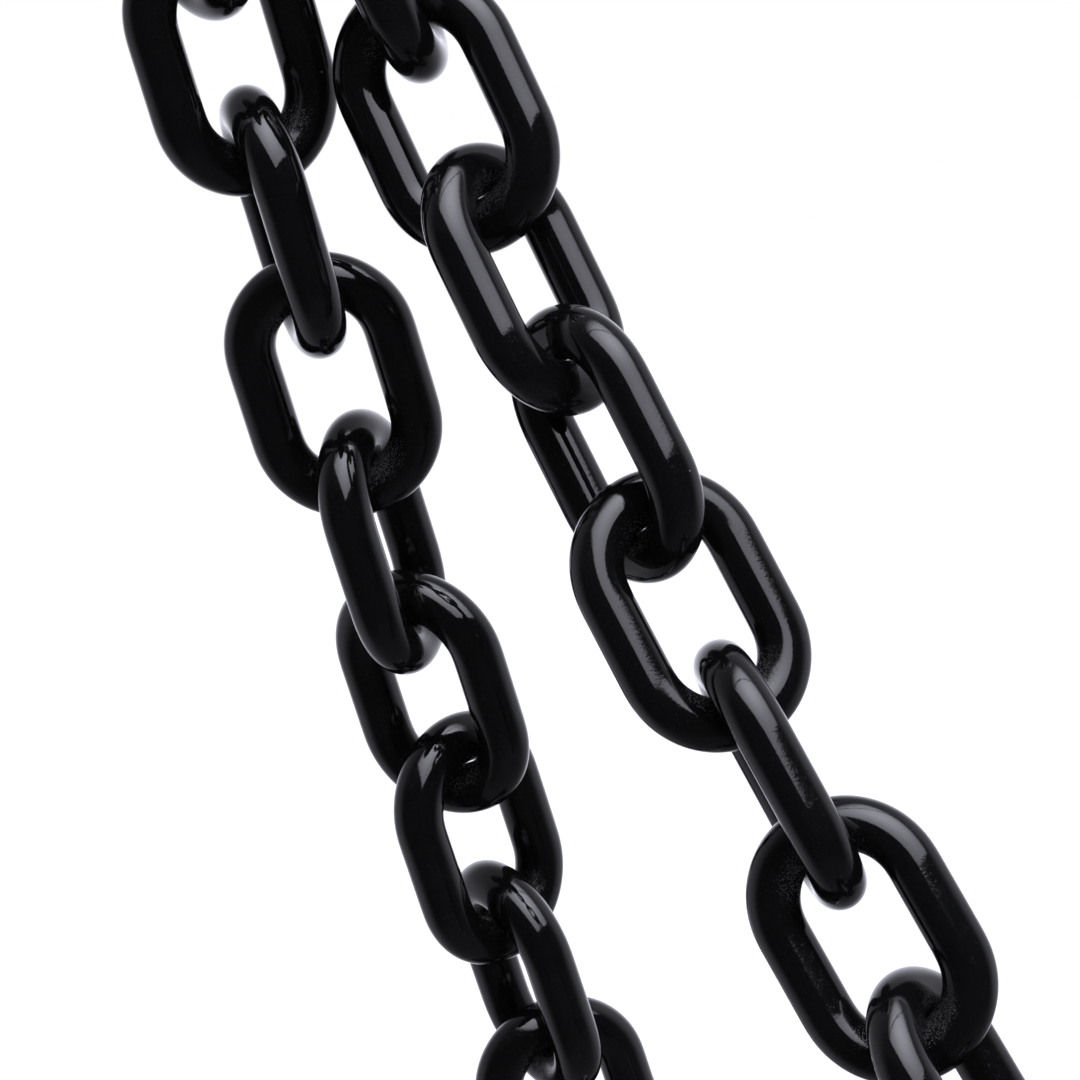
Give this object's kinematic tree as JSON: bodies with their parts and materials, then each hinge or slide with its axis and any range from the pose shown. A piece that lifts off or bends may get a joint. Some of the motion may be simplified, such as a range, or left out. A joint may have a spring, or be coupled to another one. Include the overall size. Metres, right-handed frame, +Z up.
{
  "type": "anchor lead chain",
  "caption": "Coated short-link anchor lead chain folded in two over its middle link, with a bow shackle on each end.",
  "frame": {"origin": "middle of the hang link, the chain's middle link, which hangs on a hook", "axes": "+Z up, the two strands hang down and lean apart along X"},
  "size_m": [0.2561, 0.0745, 0.4757],
  "materials": {
    "vinyl_coat": "glossy",
    "galvanised_steel": "satin"
  },
  "bodies": {
    "hang_link": {"hang_link_coating": "vinyl_coat", "hang_link_core": "galvanised_steel"},
    "left_01": {"left_01_coating": "vinyl_coat", "left_01_core": "galvanised_steel"},
    "left_02": {"left_02_coating": "vinyl_coat", "left_02_core": "galvanised_steel"},
    "left_03": {"left_03_coating": "vinyl_coat", "left_03_core": "galvanised_steel"},
    "left_04": {"left_04_coating": "vinyl_coat", "left_04_core": "galvanised_steel"},
    "left_05": {"left_05_coating": "vinyl_coat", "left_05_core": "galvanised_steel"},
    "left_06": {"left_06_coating": "vinyl_coat", "left_06_core": "galvanised_steel"},
    "left_07": {"left_07_coating": "vinyl_coat", "left_07_core": "galvanised_steel"},
    "left_08": {"left_08_coating": "vinyl_coat", "left_08_core": "galvanised_steel"},
    "left_09": {"left_09_coating": "vinyl_coat", "left_09_core": "galvanised_steel"},
    "left_10": {"left_10_coating": "vinyl_coat", "left_10_core": "galvanised_steel"},
    "left_11": {"left_11_coating": "vinyl_coat", "left_11_core": "galvanised_steel"},
    "left_12": {"left_12_coating": "vinyl_coat", "left_12_core": "galvanised_steel"},
    "left_13": {"left_13_coating": "vinyl_coat", "left_13_core": "galvanised_steel"},
    "left_shackle": {"left_shackle_bow": "galvanised_steel"},
    "left_shackle_pin": {"left_shackle_pin": "galvanised_steel"},
    "right_01": {"right_01_coating": "vinyl_coat", "right_01_core": "galvanised_steel"},
    "right_02": {"right_02_coating": "vinyl_coat", "right_02_core": "galvanised_steel"},
    "right_03": {"right_03_coating": "vinyl_coat", "right_03_core": "galvanised_steel"},
    "right_04": {"right_04_coating": "vinyl_coat", "right_04_core": "galvanised_steel"},
    "right_05": {"right_05_coating": "vinyl_coat", "right_05_core": "galvanised_steel"},
    "right_06": {"right_06_coating": "vinyl_coat", "right_06_core": "galvanised_steel"},
    "right_07": {"right_07_coating": "vinyl_coat", "right_07_core": "galvanised_steel"},
    "right_08": {"right_08_coating": "vinyl_coat", "right_08_core": "galvanised_steel"},
    "right_09": {"right_09_coating": "vinyl_coat", "right_09_core": "galvanised_steel"},
    "right_10": {"right_10_coating": "vinyl_coat", "right_10_core": "galvanised_steel"},
    "right_11": {"right_11_coating": "vinyl_coat", "right_11_core": "galvanised_steel"},
    "right_12": {"right_12_coating": "vinyl_coat", "right_12_core": "galvanised_steel"},
    "right_13": {"right_13_coating": "vinyl_coat", "right_13_core": "galvanised_steel"},
    "right_shackle": {"right_shackle_bow": "galvanised_steel"},
    "right_shackle_pin": {"right_shackle_pin": "galvanised_steel"}
  },
  "joints": [
    {"name": "left_01_swing", "type": "hinge", "parent": "hang_link", "child": "left_01", "pos_m": [0, -0.01737, 0.01171], "axis": [0.9613, -0.1541, -0.2285], "range_deg": [-45, 0]},
    {"name": "left_02_swing", "type": "hinge", "parent": "left_01", "child": "left_02", "pos_m": [0.00153, -0.01681, -0.02054], "axis": [-0.0003, -0.9998, -0.0174], "range_deg": [-45, 0]},
    {"name": "left_03_swing", "type": "hinge", "parent": "left_02", "child": "left_03", "pos_m": [-0.00236, -0.01333, -0.05214], "axis": [-0.9926, -0.0174, 0.1203], "range_deg": [-10, 45]},
    {"name": "left_04_swing", "type": "hinge", "parent": "left_03", "child": "left_04", "pos_m": [-0.01173, -0.01374, -0.08285], "axis": [-0.02, 0.9998, -0.0074], "range_deg": [-20, 45]},
    {"name": "left_05_swing", "type": "hinge", "parent": "left_04", "child": "left_05", "pos_m": [-0.01971, -0.01395, -0.11385], "axis": [0.9421, -0.2334, -0.2409], "range_deg": [-45, 45]},
    {"name": "left_06_swing", "type": "hinge", "parent": "left_05", "child": "left_06", "pos_m": [-0.0276, -0.01407, -0.14486], "axis": [0.4542, 0.8829, -0.1189], "range_deg": [-45, 45]},
    {"name": "left_07_swing", "type": "hinge", "parent": "left_06", "child": "left_07", "pos_m": [-0.03538, -0.014, -0.17589], "axis": [0.7148, -0.6756, -0.1808], "range_deg": [-45, 45]},
    {"name": "left_08_swing", "type": "hinge", "parent": "left_07", "child": "left_08", "pos_m": [-0.04313, -0.01383, -0.20694], "axis": [0.8144, 0.5446, -0.2001], "range_deg": [-45, 45]},
    {"name": "left_09_swing", "type": "hinge", "parent": "left_08", "child": "left_09", "pos_m": [-0.05075, -0.0135, -0.23802], "axis": [-0.3059, 0.9483, 0.0848], "range_deg": [-45, 45]},
    {"name": "left_10_swing", "type": "hinge", "parent": "left_09", "child": "left_10", "pos_m": [-0.05833, -0.01302, -0.26911], "axis": [0.9694, 0.0698, -0.2353], "range_deg": [-45, 45]},
    {"name": "left_11_swing", "type": "hinge", "parent": "left_10", "child": "left_11", "pos_m": [-0.0658, -0.01244, -0.30022], "axis": [-0.1814, -0.9831, 0.0252], "range_deg": [-45, 45]},
    {"name": "left_12_swing", "type": "hinge", "parent": "left_11", "child": "left_12", "pos_m": [-0.07319, -0.01167, -0.33134], "axis": [-0.8794, 0.4225, 0.2194], "range_deg": [-45, 45]},
    {"name": "left_13_swing", "type": "hinge", "parent": "left_12", "child": "left_13", "pos_m": [-0.08052, -0.01081, -0.36248], "axis": [-0.6239, -0.7713, 0.1255], "range_deg": [-45, 45]},
    {"name": "left_shackle_swing", "type": "hinge", "parent": "left_13", "child": "left_shackle", "pos_m": [-0.08773, -0.00978, -0.39364], "axis": [-0.5667, 0.8086, 0.158], "range_deg": [-45, 40]},
    {"name": "right_01_swing", "type": "hinge", "parent": "hang_link", "child": "right_01", "pos_m": [0, 0.01737, -0.01171], "axis": [0.9613, -0.1541, -0.2285], "range_deg": [0, 25]},
    {"name": "right_02_swing", "type": "hinge", "parent": "right_01", "child": "right_02", "pos_m": [0.00226, 0.01279, -0.04375], "axis": [0.4695, 0.8781, -0.0923], "range_deg": [-25, 0]},
    {"name": "right_03_swing", "type": "hinge", "parent": "right_02", "child": "right_03", "pos_m": [0.00941, 0.01273, -0.07509], "axis": [-0.8568, 0.4767, -0.1963], "range_deg": [-20, 20]},
    {"name": "right_04_swing", "type": "hinge", "parent": "right_03", "child": "right_04", "pos_m": [0.01629, 0.01175, -0.10632], "axis": [-0.6892, -0.7129, -0.1292], "range_deg": [-25, 20]},
    {"name": "right_05_swing", "type": "hinge", "parent": "right_04", "child": "right_05", "pos_m": [0.0237, 0.01128, -0.13745], "axis": [-0.4762, 0.8702, -0.1264], "range_deg": [-25, 25]},
    {"name": "right_06_swing", "type": "hinge", "parent": "right_05", "child": "right_06", "pos_m": [0.03135, 0.01115, -0.16852], "axis": [-0.9444, -0.2334, -0.2316], "range_deg": [-25, 25]},
    {"name": "right_07_swing", "type": "hinge", "parent": "right_06", "child": "right_07", "pos_m": [0.03957, 0.01137, -0.19945], "axis": [0.0405, 0.999, 0.0177], "range_deg": [-25, 25]},
    {"name": "right_08_swing", "type": "hinge", "parent": "right_07", "child": "right_08", "pos_m": [0.04808, 0.01211, -0.23029], "axis": [-0.9161, 0.3172, -0.2452], "range_deg": [-25, 25]},
    {"name": "right_09_swing", "type": "hinge", "parent": "right_08", "child": "right_09", "pos_m": [0.05702, 0.01306, -0.261], "axis": [-0.537, -0.8237, -0.1819], "range_deg": [-25, 25]},
    {"name": "right_10_swing", "type": "hinge", "parent": "right_09", "child": "right_10", "pos_m": [0.06642, 0.01457, -0.29156], "axis": [0.6185, -0.7709, 0.1522], "range_deg": [-25, 25]},
    {"name": "right_11_swing", "type": "hinge", "parent": "right_10", "child": "right_11", "pos_m": [0.07607, 0.01637, -0.32201], "axis": [0.8674, 0.3981, 0.2985], "range_deg": [-25, 25]},
    {"name": "right_12_swing", "type": "hinge", "parent": "right_11", "child": "right_12", "pos_m": [0.08629, 0.01857, -0.35226], "axis": [0.1451, -0.9891, -0.0229], "range_deg": [-25, 25]},
    {"name": "right_13_swing", "type": "hinge", "parent": "right_12", "child": "right_13", "pos_m": [0.09674, 0.02124, -0.38239], "axis": [0.9384, -0.1473, 0.3124], "range_deg": [-25, 25]},
    {"name": "right_shackle_swing", "type": "hinge", "parent": "right_13", "child": "right_shackle", "pos_m": [0.10766, 0.02415, -0.41233], "axis": [-0.3615, -0.9061, -0.2199], "range_deg": [-45, 45]},
    {"name": "left_shackle_pin_slide", "type": "slide", "parent": "left_shackle", "child": "left_shackle_pin", "axis": [0.9473, 0.2418, -0.21], "range_m": [0, 0.032]},
    {"name": "right_shackle_pin_slide", "type": "slide", "parent": "right_shackle", "child": "right_shackle_pin", "axis": [0.9395, -0.0695, 0.3355], "range_m": [0, 0.032]}
  ]
}
